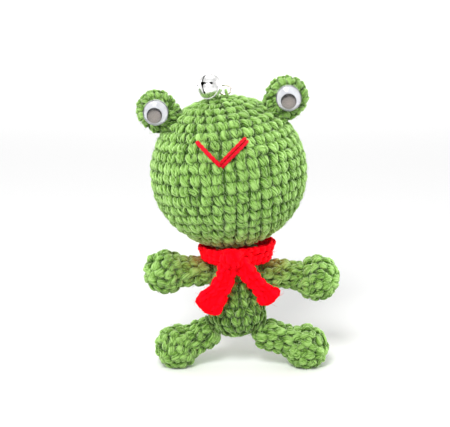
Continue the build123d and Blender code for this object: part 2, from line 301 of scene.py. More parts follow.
SIM_SCALE = 20  # the solver works best on shapes near a metre
SIM_FRAMES = 12
LUMP_SIZE = 16 * MM
SHRINK = 0.06  # of the cloth where it is tightest, and its growth where it is slackest


def slow_noise(points, seed, size):
    """A gentle noise of about -1 to 1 over points, with lumps about size across."""
    waves = np.random.default_rng(seed)
    total = np.zeros(points.shape[:-1])
    for _ in range(7):
        direction = unit(waves.normal(size=3)) / size * waves.uniform(0.6, 1.5)
        total += np.sin(points @ direction * math.pi + waves.uniform(0, 6.28))
    return total / 3


def closed_faces(rows, columns):
    """Faces of a closed grid whose first and last rows are single points."""
    last = (rows - 2) * columns + 1
    faces = []
    for j in range(columns):
        k = (j + 1) % columns
        faces.append((0, 1 + k, 1 + j))
        faces.append((last, last - columns + j, last - columns + k))
        for i in range(rows - 3):
            low = 1 + i * columns
            faces.append((low + j, low + k, low + columns + k, low + columns + j))
    return faces


def stuffed(grid, seed, lump):
    """The grid after stuffing. No point moves more than lump, and the shape keeps its size."""
    rows, columns = grid.shape[:2]
    points = np.vstack([grid[0].mean(axis=0), grid[1:-1].reshape(-1, 3), grid[-1].mean(axis=0)])
    slack = slow_noise(points, seed, LUMP_SIZE)
    centre = points.mean(axis=0)
    outward = points - centre
    shift = blown_up(points, centre, slack, closed_faces(rows, columns)) - points
    shift -= shift.mean(axis=0)
    shift -= outward * (shift * outward).sum() / (outward * outward).sum()
    reach = np.linalg.norm(shift, axis=1, keepdims=True)
    points = points + shift * np.minimum(1, lump / np.maximum(reach, 1e-9))
    ends = [np.repeat(p[None, None], columns, axis=1) for p in (points[0], points[-1])]
    return np.concatenate([ends[0], points[1:-1].reshape(rows - 2, columns, 3), ends[1]])


def blown_up(points, centre, slack, faces):
    """Where the points settle when the shape, as cloth with that slack, is put under pressure."""
    mesh = bpy.data.meshes.new("stuffing_form")
    mesh.from_pydata(((points - centre) * SIM_SCALE).tolist(), [], faces)
    form = added("stuffing_form", mesh)
    group = form.vertex_groups.new(name="slack")
    for i, value in enumerate(np.clip(0.5 + 0.5 * slack, 0, 1)):
        group.add([i], float(value), "REPLACE")
    cloth = form.modifiers.new("stuffing", "CLOTH")
    settings = cloth.settings
    settings.quality = 4
    settings.use_pressure = True
    settings.uniform_pressure_force = 3
    settings.tension_stiffness = settings.compression_stiffness = 40
    settings.bending_stiffness = 5
    settings.shrink_min, settings.shrink_max = SHRINK, -SHRINK
    settings.vertex_group_shrink = group.name
    settings.effector_weights.gravity = 0
    cloth.point_cache.frame_start, cloth.point_cache.frame_end = 1, SIM_FRAMES
    for step in range(1, SIM_FRAMES + 1):
        bpy.context.scene.frame_set(step)
    settled = form.evaluated_get(bpy.context.evaluated_depsgraph_get())
    moved = np.empty(len(points) * 3)
    settled.data.vertices.foreach_get("co", moved)
    bpy.data.objects.remove(form)
    bpy.data.meshes.remove(mesh)
    bpy.context.scene.frame_set(1)
    return moved.reshape(-1, 3) / SIM_SCALE + centre


# ---- Meshes of yarn and fabric

PAINTED_SCARF_BOUNCE_REACH = 2.6 * MM  # how far off the scarf its painted red bounce light and shade has faded to about a third
SCARF = middle_of("scarf_band")
SCARF_R, SCARF_HALF = 11.5 * MM, 2.2 * MM


def blush(places):
    """How much painted red bounce light and shade from the scarf a place takes, from 0 far off to 1
    on it.
    """
    radius = np.hypot(places[:, 0] - SCARF[0], places[:, 1] - SCARF[1])
    off = np.hypot(radius - SCARF_R, places[:, 2] - SCARF[2]) - SCARF_HALF
    return np.exp(-np.maximum(off, 0) / PAINTED_SCARF_BOUNCE_REACH)


class Piece:
    """Gathers vertices and faces, with the yarn's UVs and the values that colour it."""

    def __init__(self):
        self.count, self.verts, self.faces, self.values = 0, [], [], []

    def add(self, verts, faces, tint, depth):
        """faces holds (faces, corner UVs) pairs. tint and depth are per vertex or one for all."""
        verts = verts.reshape(-1, 3)
        for corners, uvs in faces:
            self.faces.append((corners + self.count, uvs))
        values = np.stack([np.broadcast_to(x, len(verts)) for x in (tint, depth)], axis=1)
        self.values.append(values)
        self.verts.append(verts)
        self.count += len(verts)

    def build(self, name, material):
        mesh = bpy.data.meshes.new(name)
        verts = np.concatenate(self.verts)
        loops = np.concatenate([f.ravel() for f, _ in self.faces])
        uvs = np.concatenate([u.reshape(-1, 2) for _, u in self.faces])
        totals = np.concatenate([np.full(len(f), f.shape[1]) for f, _ in self.faces])
        mesh.vertices.add(len(verts))
        mesh.loops.add(len(loops))
        mesh.polygons.add(len(totals))
        mesh.vertices.foreach_set("co", verts.ravel())
        mesh.loops.foreach_set("vertex_index", loops)
        mesh.polygons.foreach_set("loop_start", np.cumsum(totals) - totals)
        mesh.update(calc_edges=True)
        mesh.polygons.foreach_set("use_smooth", np.ones(len(totals), bool))
        mesh.uv_layers.new(name="yarn").data.foreach_set("uv", uvs.ravel())
        values = dict(zip(("tint", "depth"), np.concatenate(self.values).T), blush=blush(verts))
        for attribute, numbers in values.items():
            data = mesh.attributes.new(attribute, "FLOAT", "POINT").data
            data.foreach_set("value", numbers.astype(np.float32))
        mesh.validate()
        mesh.materials.append(material)
        return added(name, mesh)


def add_many(piece, verts, faces, shift, tint, depth):
    """Many tubes of one make: each has its own UV shift and tint."""
    per = verts[0].size // 3
    base = np.arange(len(verts))[:, None, None] * per
    tiled = []
    for corners, uvs in faces:
        many = (base + corners[None]).reshape(-1, corners.shape[1])
        moved = uvs[None] + shift[:, None, None, None] * np.array((0, 1))
        tiled.append((many, moved.reshape(-1, corners.shape[1], 2)))
    piece.add(verts, tiled, np.repeat(tint, per), depth)


GROUND_SHADE = 0.08  # the depth that colours the ground: low on the ramp, as painted shade between the stitches


def add_ground(piece, surface, height):
    """The fabric under the stitches, as a closed skin at a height over the surface."""
    rows, columns = surface.grid.shape[:2]
    grid = surface.grid + surface.fields[:, :, 1] * height
    faces = [(f, uvs * 0) for f, uvs in yarn_faces(rows, columns, surface.looped)]
    piece.add(grid, faces, 0, GROUND_SHADE)


FEWEST = 5  # stitches in a round
ROUND_CLIMB = 0.9  # of a row, from a round's first stitch to its last
DRIFT_VARIES, PLACE_VARIES = 0.02, 0.045  # in stitches
SIZE_VARIES = (0.93, 1.08)
TURN_VARIES = 0.12  # radians
LEG_LIFT = 0.25 * MM
CREST_SHADE = 0.12  # that a ply's crest adds to the depth, so painted shade darkens the valleys between plies
UV_SHIFT = 40  # the most that a leg's streaks move along it
TINT_VARIES, LEG_TINT_VARIES = 1, 0.5


def stitch_places(surface, rows, size, lean, step, crowd, random):
    """Each stitch's place as (a, b), and its width as a share of its round."""
    a, b, across, turned = [], [], [], 0.0
    for row in range(rows):
        girth = surface.girth((row + 0.5) / rows, 0.5 * STITCH_RISE * size)
        count = max(FEWEST, round(girth * crowd / (CELL_W * size) / step) * step)
        drift = (lean + DRIFT_VARIES * random.normal()) / count
        share = np.arange(count) / count
        a.append(turned + share * (1 + drift))
        b.append((row + 0.5 + (share - 0.5) * ROUND_CLIMB) / rows)
        across.append(np.full(count, 1.0 / count))
        turned += drift
    a, b, across = np.concatenate(a), np.concatenate(b), np.concatenate(across)
    a += random.normal(0, PLACE_VARIES, len(a)) * across
    b += random.normal(0, PLACE_VARIES, len(b)) / rows
    return a, b, across


def turned_lines(lines, twist, random):
    """The legs' centre lines, after each stitch and each of its legs has turned on the fabric."""
    total = len(lines)
    stitch_turn = random.normal(0, TURN_VARIES, (total, 1, 1))
    angle = stitch_turn + random.normal(0, twist, (total, 2, 1))
    u, v = lines[..., 0] * CELL_W, lines[..., 1] * CELL_H
    new_u = (u * np.cos(angle) - v * np.sin(angle)) / CELL_W
    new_v = (u * np.sin(angle) + v * np.cos(angle)) / CELL_H
    return np.stack([new_u, new_v, lines[..., 2]], axis=-1)


def add_stitches(
    piece, surface, rows, seed, size=1, lean=0.04, step=1, relief=1, twist=0.05, crowd=1, painted_light_tone=0
):
    """Rounds of stitches over the surface, from b = 0 up. size scales the yarn, relief its
    height, lean is each round's drift in stitches, a round has a multiple of step stitches,
    twist is how far, in radians, each leg is turned on its own, crowd packs them closer, and
    the tone shifts the whole piece's tint up or down the ramp, as painted light or shade."""
    random = np.random.default_rng(seed)
    a, b, across = stitch_places(surface, rows, size, lean, step, crowd, random)
    total = len(a)
    pick = random.integers(0, TEMPLATES, total)
    grow = random.uniform(*SIZE_VARIES, total)
    lines = turned_lines(STITCH_LINES[pick], twist, random)
    line_a = a[:, None, None] + lines[..., 0] * across[:, None, None]
    line_b = b[:, None, None] + lines[..., 1] / rows
    height = (lines[..., 2] * grow[:, None, None] + LEG_LIFT) * size * relief
    place, out, up, side = surface.frames(line_a, line_b)
    centre = place + out * height[..., None]
    scale = size * grow[:, None, None, None, None]
    offsets = STITCH_SKINS[pick] * scale * (1, 1, relief)
    verts = (
        centre[..., None, :]
        + offsets[..., 0:1] * side[..., None, :]
        + offsets[..., 1:2] * up[..., None, :]
        + offsets[..., 2:3] * out[..., None, :]
    )
    # Depth is the yarn's height over the ground, which the ramp turns into painted shade low down
    rise = (height[..., None] + offsets[..., 2]) / (STITCH_RISE * size)
    depth = rise + CREST_SHADE * STITCH_CRESTS[pick]
    legs = total * 2
    shift = random.uniform(0, UV_SHIFT, legs)
    # The piece's tint shift is painted light or shade over the whole piece
    tint = np.repeat(random.normal(painted_light_tone, TINT_VARIES, total), 2)
    tint = tint + random.normal(0, LEG_TINT_VARIES, legs)
    add_many(piece, verts.reshape(legs, -1, 3), LEG_FACES, shift, tint, depth.ravel())


FUZZ_DENSITY = 0.6e6  # loose fibres per square metre
FUZZ_R, FUZZ_POINTS, FUZZ_CORNERS = 0.04 * MM, 5, 3
FUZZ_LENGTH = (0.8 * MM, 2.2 * MM)
FUZZ_RISE = (0.3, 1.1)  # how far out its tip reaches, in mm
FUZZ_ROOT = 0.6  # of a stitch's height
FUZZ_TAPER = 0.7
FUZZ_SHADE, FUZZ_TINT_VARIES = 0.95, 2
FUZZ_FACES = yarn_faces(FUZZ_POINTS, FUZZ_CORNERS)


def scattered(surface, start, end, random):
    """Random places on a surface from b = start to end, as (a, b), even over its area."""
    grid = surface.grid
    across = (np.roll(grid, -1, axis=1) - grid)[:-1]
    strips = np.linalg.norm(np.cross(across, np.diff(grid, axis=0)), axis=2).sum(axis=1)
    total = np.concatenate([[0], np.cumsum(strips)])
    rows = np.linspace(0, 1, len(total))
    low, high = np.interp((start, end), rows, total)
    count = int((high - low) * FUZZ_DENSITY)
    return random.random(count), np.interp(random.uniform(low, high, count), total, rows)


def add_fuzz(piece, surface, seed, start=0.0, end=1.0, sector=(0.0, 1.0)):
    """Fine fibres rooted in the stitches, each a thin tapered tube that bends out and over.
    They grow from b = start to end, over the part of the way round in sector."""
    random = np.random.default_rng(seed)
    a, b = scattered(surface, start, end, random)
    wanted = (a >= sector[0]) & (a <= sector[1])
    a, b = a[wanted], b[wanted]
    count = len(a)
    place, out, up, side = surface.frames(a, b)
    turn = random.uniform(0, 2 * math.pi, (count, 1))
    level = np.cos(turn) * side + np.sin(turn) * up
    t = np.linspace(0, 1, FUZZ_POINTS)[None, :, None]
    length = random.uniform(*FUZZ_LENGTH, (count, 1, 1))
    rise = random.uniform(*FUZZ_RISE, (count, 1, 1)) * MM
    path = (place + out * STITCH_RISE * FUZZ_ROOT)[:, None] + level[:, None] * length * t
    path = path + out[:, None] * rise * (1 - (1 - t) ** 2)
    tangents = np.gradient(path, axis=1)
    beside = np.broadcast_to(np.cross(level, out)[:, None], path.shape)
    over = units(np.cross(beside, tangents))
    theta = angles(FUZZ_CORNERS)[None, None, :, None]
    radius = (FUZZ_R * (1 - FUZZ_TAPER * t))[..., None]
    spoke = np.cos(theta) * beside[:, :, None] + np.sin(theta) * over[:, :, None]
    verts = path[:, :, None] + radius * spoke
    off_floor = path[..., 2].min(axis=1) > 2 * FUZZ_R
    verts = verts[off_floor]
    tint = random.normal(0, FUZZ_TINT_VARIES, len(verts))
    add_many(piece, verts, FUZZ_FACES, np.zeros(len(verts)), tint, FUZZ_SHADE)


YARN_PLY_DEPTH = 0.16
YARN_END = 0.6  # a yarn's radius at its ends, for its radius
UV_LENGTH = 4 * MM  # of yarn to one unit of its UVs


def add_yarn(piece, path, radius, turn_length=5 * MM, looped=False, corners=12, phase=0, depth=0.8):
    """A length of plied yarn along a path."""
    length = length_of(path)
    radii = np.full(len(path), radius)
    if not looped:
        from_end = np.minimum(np.arange(len(path)), np.arange(len(path))[::-1])
        radii = radius * np.where(from_end < 2, YARN_END + (1 - YARN_END) * from_end / 2, 1)
    turns = length / turn_length
    if looped:
        turns = max(1, round(turns * PLIES)) / PLIES
    rings, crests = yarn_rings(path, radii, corners, turns, phase, YARN_PLY_DEPTH)
    faces = yarn_faces(len(path), corners, looped)
    faces = [(f, uv * (1, length / UV_LENGTH)) for f, uv in faces]
    # Painted shade in the valleys between the plies
    piece.add(path[:, None] + rings, faces, 0.0, (depth + 0.2 * crests).ravel())


def ring_path(centre, axis, radius, count=48, wobble=0.0):
    """A closed round path whose radius wavers by wobble, five times round."""
    across = unit(np.cross(axis, (0.2, 0.9, 0.3)))
    third = np.cross(axis, across)
    phi = angles(count)
    r = radius + wobble * np.sin(5 * phi + 3)
    return centre + np.outer(r * np.cos(phi), across) + np.outer(r * np.sin(phi), third)


# ---- Materials

# Painted red bounce light from the scarf, dark enough to be painted shade as well
PAINTED_SCARF_BOUNCE_SHADE = (0.23, 0.05, 0.018)
SHEEN_TINT = (0.75, 1.0, 0.50)
# Painted shade inside the bell, so that its slots look dark
PAINTED_BELL_SHADE = (0.02, 0.02, 0.018)
RAMP_SPAN = 1.3  # a ramp's stops lie between 0 and this
BELL_BOXES = np.array([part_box("bell_crown"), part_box("bell_mouth")])
BELL = (BELL_BOXES[:, 0].min(axis=0) + BELL_BOXES[:, 1].max(axis=0)) / 2
BELL_CORE_R = 3.75 * MM  # just under the bell's outer skin


class Nodes:
    """A material's node tree, built with short calls."""

    def __init__(self, name):
        self.material = bpy.data.materials.new(name)
        self.material.use_nodes = True
        self.tree = self.material.node_tree
        self.shader = self.tree.nodes["Principled BSDF"]

    def node(self, kind, **settings):
        node = self.tree.nodes.new("ShaderNode" + kind)
        for key, value in settings.items():
            setattr(node, key, value)
        return node

    def link(self, source, target):
        self.tree.links.new(source, target)

    def math(self, operation, first, second):
        node = self.node("Math", operation=operation)
        for socket, value in zip(node.inputs, (first, second)):
            if isinstance(value, (int, float)):
                socket.default_value = value
            else:
                self.link(value, socket)
        return node.outputs[0]

    def ramp(self, factor, stops):
        """Colours by factor: stops are (position, (r, g, b))."""
        node = self.node("ValToRGB")
        ramp = node.color_ramp
        while len(ramp.elements) < len(stops):
            ramp.elements.new(0.5)
        for element, (position, colour) in zip(ramp.elements, stops):
            element.position = position / RAMP_SPAN
            element.color = (*colour, 1)
        self.link(self.math("DIVIDE", factor, RAMP_SPAN), node.inputs[0])
        return node.outputs[0]

    def swing(self, noise, gain):
        """A noise's swing about its middle, times gain."""
        return self.math("MULTIPLY", self.math("SUBTRACT", noise, 0.5), gain)

    def mixed(self, factor, base, colour):
        """The base, mixed with a colour by factor."""
        node = self.node("Mix", data_type="RGBA")
        self.link(factor, node.inputs["Factor"])
        self.link(base, node.inputs["A"])
        node.inputs["B"].default_value = (*colour, 1)
        return node.outputs["Result"]

    def noise(self, vector, scale, detail):
        node = self.node("TexNoise")
        node.inputs["Scale"].default_value = scale
        node.inputs["Detail"].default_value = detail
        self.link(vector, node.inputs["Vector"])
        return node.outputs[0]

    def bump(self, height, strength, distance):
        node = self.node("Bump")
        node.inputs["Strength"].default_value = strength
        node.inputs["Distance"].default_value = distance
        self.link(height, node.inputs["Height"])
        self.link(node.outputs[0], self.shader.inputs["Normal"])

    def set(self, **values):
        for key, value in values.items():
            self.shader.inputs[key.replace("_", " ")].default_value = value


def yarn_material(name, stops, sheen=0.9, gloss=0.15, scarf_bounce_amount=0.0):
    """Plied, slightly hairy yarn: painted shade makes it darker down between the stitches, it is
    streaked along its fibres, and near the scarf it takes a painted red bounce light and shade."""
    n = Nodes(name)
    uv = n.node("UVMap", uv_map="yarn").outputs[0]
    part = n.node("SeparateXYZ")
    n.link(uv, part.inputs[0])
    across, along = part.outputs[0], part.outputs[1]
    cycle = n.math("MULTIPLY", n.math("ADD", across, n.math("MULTIPLY", along, 0.6)), 2 * math.pi)
    vector = n.node("CombineXYZ")
    n.link(n.math("COSINE", cycle, 0), vector.inputs[0])
    n.link(n.math("SINE", cycle, 0), vector.inputs[1])
    n.link(n.math("MULTIPLY", along, 0.5), vector.inputs[2])
    streaks = n.noise(vector.outputs[0], 3.6, 4)
    place = n.node("TexCoord").outputs["Object"]
    hairs = n.noise(place, 2600, 4)
    depth = n.node("Attribute", attribute_name="depth").outputs["Fac"]
    tint = n.node("Attribute", attribute_name="tint").outputs["Fac"]
    # Depth, and so painted shade, sets most of the colour: dark in the gaps, light on the tops
    level = n.math("ADD", depth, n.math("MULTIPLY", tint, 0.05))
    level = n.math("ADD", level, n.swing(streaks, 3.4))
    level = n.math("ADD", level, n.swing(hairs, 0.6))
    # Painted red bounce light and shade from the scarf, mixed in where the yarn is near it
    near = n.node("Attribute", attribute_name="blush").outputs["Fac"]
    colour = n.mixed(n.math("MULTIPLY", near, scarf_bounce_amount), n.ramp(level, stops), PAINTED_SCARF_BOUNCE_SHADE)
    n.link(colour, n.shader.inputs["Base Color"])
    n.bump(n.math("ADD", streaks, n.math("MULTIPLY", hairs, 0.4)), 0.8, 0.5 * MM)
    n.set(Roughness=0.85, Sheen_Weight=sheen, Sheen_Roughness=0.3, Specular_IOR_Level=gloss)
    n.set(Sheen_Tint=(*SHEEN_TINT, 1))
    return n.material


def fibre_material(name, light, dark):
    """Loose polyester fibre."""
    n = Nodes(name)
    place = n.node("TexCoord").outputs["Object"]
    clumps = n.noise(place, 900, 6)
    n.link(n.ramp(clumps, ((0.3, dark), (0.7, light))), n.shader.inputs["Base Color"])
    n.bump(clumps, 0.5, 0.3 * MM)
    n.set(Roughness=1.0)
    return n.material


def hard_material(name, light, dark, scale, roughness, core=None, **values):
    """Plastic, glue or metal whose colour and gloss vary a little. Given a ball as its middle and
    radius, it is darkened inside that ball as painted shade."""
    n = Nodes(name)
    place = n.node("TexCoord").outputs["Object"]
    marks = n.noise(place, scale, 5)
    colour = n.ramp(marks, ((0.35, dark), (0.65, light)))
    if core:
        away = n.node("VectorMath", operation="DISTANCE")
        n.link(place, away.inputs[0])
        away.inputs[1].default_value = core[0]
        inside = n.math("LESS_THAN", away.outputs["Value"], core[1])
        # Painted shade inside the ball
        colour = n.mixed(inside, colour, PAINTED_BELL_SHADE)
    n.link(colour, n.shader.inputs["Base Color"])
    n.link(n.math("ADD", n.swing(marks, 0.1), roughness), n.shader.inputs["Roughness"])
    n.bump(marks, 0.08, 0.05 * MM)
    n.set(**values)
    return n.material


# Colours by depth: painted shade in the gaps, up to the lit colour on the stitches' tops
GREEN_STOPS = (
    (0.10, (0.010, 0.036, 0.003)),
    (0.44, (0.048, 0.118, 0.014)),
    (0.76, (0.130, 0.267, 0.037)),
    (1.1, (0.275, 0.47, 0.125)),
)
RED_STOPS = (
    (0.0, (0.75, 0.0, 0.003)),
    (0.4, (0.92, 0.0, 0.006)),
    (0.95, (1.0, 0.001, 0.012)),
)
MOUTH_STOPS = (
    (0.0, (0.30, 0.001, 0.005)),
    (0.5, (0.52, 0.002, 0.010)),
    (0.95, (0.66, 0.008, 0.022)),
)
# Painted grey reflection in the middle, painted shade towards the rim
PUPIL_STOPS = (
    (0.0, (0.23, 0.20, 0.18)),
    (0.41, (0.17, 0.15, 0.135)),
    (0.51, (0.015, 0.013, 0.013)),
)
PUPIL_MIDDLE = (0.5, 0.5, 0.36)  # of the painted grey reflection of the studio on a pupil, as shares of its box


def pupil_material(name):
    """A black disc with the studio's reflection painted on as grey, and painted shade darker at its
    rim.
    """
    n = Nodes(name)
    centred = n.node("VectorMath", operation="SUBTRACT")
    n.link(n.node("TexCoord").outputs["Generated"], centred.inputs[0])
    centred.inputs[1].default_value = PUPIL_MIDDLE
    flat = n.node("VectorMath", operation="MULTIPLY")
    n.link(centred.outputs[0], flat.inputs[0])
    flat.inputs[1].default_value = (1, 0, 1)
    reach = n.node("VectorMath", operation="LENGTH")
    n.link(flat.outputs[0], reach.inputs[0])
    blotches = n.noise(n.node("TexCoord").outputs["Object"], 500, 2)
    level = n.math("ADD", reach.outputs["Value"], n.swing(blotches, 0.15))
    n.link(n.ramp(level, PUPIL_STOPS), n.shader.inputs["Base Color"])
    n.set(Roughness=0.22)
    return n.material


# The green yarn takes painted red bounce light and shade from the scarf
green = yarn_material("green_yarn_look", GREEN_STOPS, scarf_bounce_amount=0.85)
red = yarn_material("red_yarn_look", RED_STOPS, sheen=0.0, gloss=0.05)
mouth_red = yarn_material("mouth_yarn_look", MOUTH_STOPS, sheen=0.0, gloss=0.1)
fibre = fibre_material("stuffing_look", (0.86, 0.85, 0.82), (0.60, 0.60, 0.58))
eye_white = hard_material("eye_back_look", (0.74, 0.75, 0.79), (0.66, 0.67, 0.72), 700, 0.4)
dome_how = {"Transmission_Weight": 1.0, "IOR": 1.25}
dome_clear = hard_material("eye_dome_look", (1, 1, 1), (0.97, 0.97, 0.97), 300, 0.03, **dome_how)
pupil_black = pupil_material("pupil_look")
glue_pale = hard_material("glue_look", (0.80, 0.76, 0.60), (0.65, 0.62, 0.45), 1500, 0.2)
# The bell's inside is darkened as painted shade
bell_how = {"core": (BELL, BELL_CORE_R), "Metallic": 1.0}
silver = hard_material("bell_look", (0.92, 0.92, 0.91), (0.78, 0.78, 0.77), 1200, 0.28, **bell_how)
steel = hard_material("steel_look", (0.62, 0.58, 0.52), (0.46, 0.42, 0.37), 2500, 0.25, Metallic=1)


# ---- The padded pieces

GROUND_INSET = STITCH_RISE
FILLING_DEPTH = 0.5 * MM  # under the stuffed surface


def finish_piece(obj, nodes, body=None):
    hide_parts(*nodes)
    if body:
        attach(obj, body)


def stuffing_piece(name, surface, body=None):
    """The fibre filling just under a fabric."""
    piece = Piece()
    add_ground(piece, surface, -FILLING_DEPTH)
    obj = piece.build(name + "_filling", fibre)
    finish_piece(obj, [name + "_stuffing"], body)
    return obj


def fabric_piece(name, surface, rows, seed, fuzzy=(0.0, 1.0), ground=0.1 * MM, **how):
    """Stitches on their ground, with loose fibres on the rows in the span fuzzy."""
    piece = Piece()
    add_ground(piece, surface, ground)
    add_stitches(piece, surface, rows, seed, **how)
    add_fuzz(piece, surface, seed, *fuzzy)
    return piece.build(name + "_fabric", green)


def padded_pieces(name, body, fill, surface, rows, **how):
    """A fabric and the filling that it holds, on one body."""
    obj = fabric_piece(name, surface, rows, **how)
    finish_piece(obj, [name + "_cover"], body)
    stuffing_piece(name, surface, body)


HEAD = middle_of("head_cover")
HEAD_ROLL = math.radians(-5.8)
HEAD_UP = np.array((math.sin(HEAD_ROLL), 0, math.cos(HEAD_ROLL)))
HEAD_ACROSS = np.array((math.cos(HEAD_ROLL), 0, -math.sin(HEAD_ROLL)))
HEAD_ROUNDS = 22
HEAD_INSET = GROUND_INSET - 0.35 * MM  # so its stitches stand that much proud of the CAD's skin


def make_head():
    outline = cad_outline("head_cover", HEAD, HEAD_UP, HEAD_ACROSS, HEAD_INSET, 30)
    grid = revolved(outline, HEAD, HEAD_UP, HEAD_ACROSS)
    surface = Surface(stuffed(grid, seed=11, lump=0.7 * MM))
    # The head's tint is shifted up a little, as painted light
    how = {"seed": 21, "step": 4, "painted_light_tone": 0.7, "fuzzy": (0.22, 1.0)}
    padded_pieces("head", "head", 0.9, surface, HEAD_ROUNDS, **how)


BODY_X = -0.7 * MM
TORSO = np.array((BODY_X, 0, 22 * MM))
ALONG_X = np.array((1.0, 0, 0))
TORSO_ROUNDS = 12


def make_torso():
    outline = cad_outline("torso_cover", TORSO, UP, ALONG_X, GROUND_INSET, 26)
    grid = revolved(outline, TORSO, UP, ALONG_X, 36)
    surface = Surface(stuffed(grid, seed=12, lump=0.5 * MM))
    # The torso's tint is shifted well down, as painted shade from the head over the belly
    how = {"size": 0.92, "lean": 0.45, "twist": 0.22, "painted_light_tone": -3.5, "fuzzy": (0.1, 0.8)}
    padded_pieces("torso", "torso", 0.8, surface, TORSO_ROUNDS, seed=22, **how)


LOBE_INSET = 1.25 * MM
LOBE_ROUNDS = 7
LOBE_STRETCH = {"right": 0.68, "left": 0.36}  # of its reach towards the head, where it is sewn on


def make_lobe(side):
    """The round lobe that an eye is glued to, in rounds from the middle of its face back."""
    name = side + "_lobe"
    centre = middle_of(name + "_stuffing")
    outline = cad_outline(name + "_cover", centre, -FRONT, -SIDES[side] * HEAD_ACROSS, LOBE_INSET, 20)
    grid = revolved(outline, centre, -FRONT, HEAD_ACROSS, 36)
    toward = unit((HEAD - centre) * (1, 0, 1))
    reach = np.maximum(0, (grid - centre) @ toward)[..., None]
    grid = grid + toward * reach * LOBE_STRETCH[side]
    surface = Surface(stuffed(grid, seed=31, lump=0.3 * MM))
    how = {"seed": 23 + SIDES[side], "size": 0.74, "lean": 0.5}
    padded_pieces(name, "head", 0.8, surface, LOBE_ROUNDS, **how)


# Ball's middle (x, z), ball's radius, sleeve's radius in mm, and how far the tip turns forward
LIMBS = {
    "right_arm": ((-23.6, 31.6), 6.75, 4.5, 0.9),
    "left_arm": ((25.2, 29.6), 6.95, 4.3, 0.6),
    "right_leg": ((-19.9, 6.6), 6.9, 4.8, 1.0),
    "left_leg": ((21.9, 6.6), 7.0, 4.8, 0.9),
}
JOINT_OF = {"arm": "shoulder", "leg": "hip"}
LIMB_REACH = 3.0 * MM  # that a sleeve goes on past its joint, into the torso
LIMB_INSET = 1.3 * MM
LIMB_END = 0.4  # of the sleeve's radius: how much its end inside the torso bulges
LIMB_COLUMNS = 36
# The limbs' tint is shifted down a little, as painted shade
LIMB_STITCHES = {"relief": 1.12, "lean": 0.5, "twist": 0.22, "crowd": 1.15, "painted_light_tone": -1.0}
ROUND_PITCH = 0.9 * CELL_H


def limb_outline(ball, sleeve, length):
    """(radius, distance along) points round the ball, then along the sleeve, and the distance
    at which the ball ends."""
    neck = math.acos(-math.sqrt(1 - (sleeve / ball) ** 2))
    wrist = -ball * math.cos(neck)
    outline = [(ball * math.sin(t), -ball * math.cos(t)) for t in np.linspace(0, neck, 24)]
    end = LIMB_END * sleeve
    outline += [(sleeve, wrist + 0.6 * MM), (sleeve, length), (end, length + end), (0, length + end)]
    return resampled(outline, 34), wrist


def limb_grid(name):
    """Rings round a ball whose tip turns forward, then round the sleeve, with the joint's place
    and the direction in towards it."""
    (x, z), ball, sleeve, turn = LIMBS[name]
    side, kind = name.split("_")
    ball, sleeve = ball * MM - LIMB_INSET, sleeve * MM - LIMB_INSET
    centre = mm(x, 0, z)
    joint = joints[side + "_" + JOINT_OF[kind]]
    inward = unit(joint - centre)
    tip = unit(-inward + turn * FRONT)
    outline, wrist = limb_outline(ball, sleeve, np.linalg.norm(joint - centre) + LIMB_REACH)
    across = np.cross(inward, (0, 1.0, 0))
    phi = angles(LIMB_COLUMNS)
    grid = []
    for radius, along in outline:
        share = np.clip((along + ball) / (wrist + ball), 0, 1)
        share = share * share * (3 - 2 * share)
        axis = unit(-tip * (1 - share) + inward * share)
        across_here = unit(across - axis * (across @ axis))
        third = np.cross(axis, across_here)
        spoke = np.outer(np.cos(phi), across_here) + np.outer(np.sin(phi), third)
        grid.append(centre + axis * along + radius * spoke)
    return np.array(grid), joint, inward


def press_flat(obj):
    """Presses the yarn under a foot onto the floor."""
    for vertex in obj.data.vertices:
        vertex.co.z = max(vertex.co.z, 0.0)


def make_limb(name, seed):
    grid, joint, inward = limb_grid(name)
    surface = Surface(stuffed(grid, seed=seed, lump=0.4 * MM))
    rounds = round(length_of(surface.grid[:, 0]) / ROUND_PITCH)
    how = {"seed": seed, "ground": 0.3 * MM, "fuzzy": (0.0, 0.8), **LIMB_STITCHES}
    obj = fabric_piece(name, surface, rounds, **how)
    if name.endswith("leg"):
        press_flat(obj)
    finish_piece(obj, [name + "_cover"])
    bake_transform(obj)
    filling = stuffing_piece(name, surface)
    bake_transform(filling)


make_head()
make_torso()
for side in SIDES:
    make_lobe(side)
for k, name in enumerate(LIMBS):
    make_limb(name, 41 + k)


# ---- Seams, the mouth and the loop at the crown

NECK_SEAM_R, LOBE_SEAM_R, JOINT_SEAM_R = 6.3 * MM, 4.4 * MM, 3.7 * MM
THICK_YARN_R, THIN_YARN_R = 0.65 * MM, 0.55 * MM
SEAM_WOBBLE = 0.15 * MM


def seam(node, axis, radius, yarn_r, body):
    """A round of sewing yarn where a CAD seam is."""
    piece = Piece()
    path = ring_path(middle_of(node), axis, radius, wobble=SEAM_WOBBLE)
    # Depth 0.45: painted shade, for yarn lying in the crease of a seam
    add_yarn(piece, path, yarn_r, looped=True, depth=0.45)
    finish_piece(piece.build(node + "_yarn", green), [node], body)


seam("neck_seam", UP, NECK_SEAM_R, THICK_YARN_R, "neck")
for side in SIDES:
    seam(side + "_lobe_seam", HEAD_UP, LOBE_SEAM_R, THIN_YARN_R, "head")
    for limb, kind in JOINT_OF.items():
        (x, z), *_ = LIMBS[side + "_" + limb]
        axis = unit(joints[side + "_" + kind] - mm(x, 0, z))
        seam(f"{side}_{kind}_seam", axis, JOINT_SEAM_R, THIN_YARN_R, "torso")


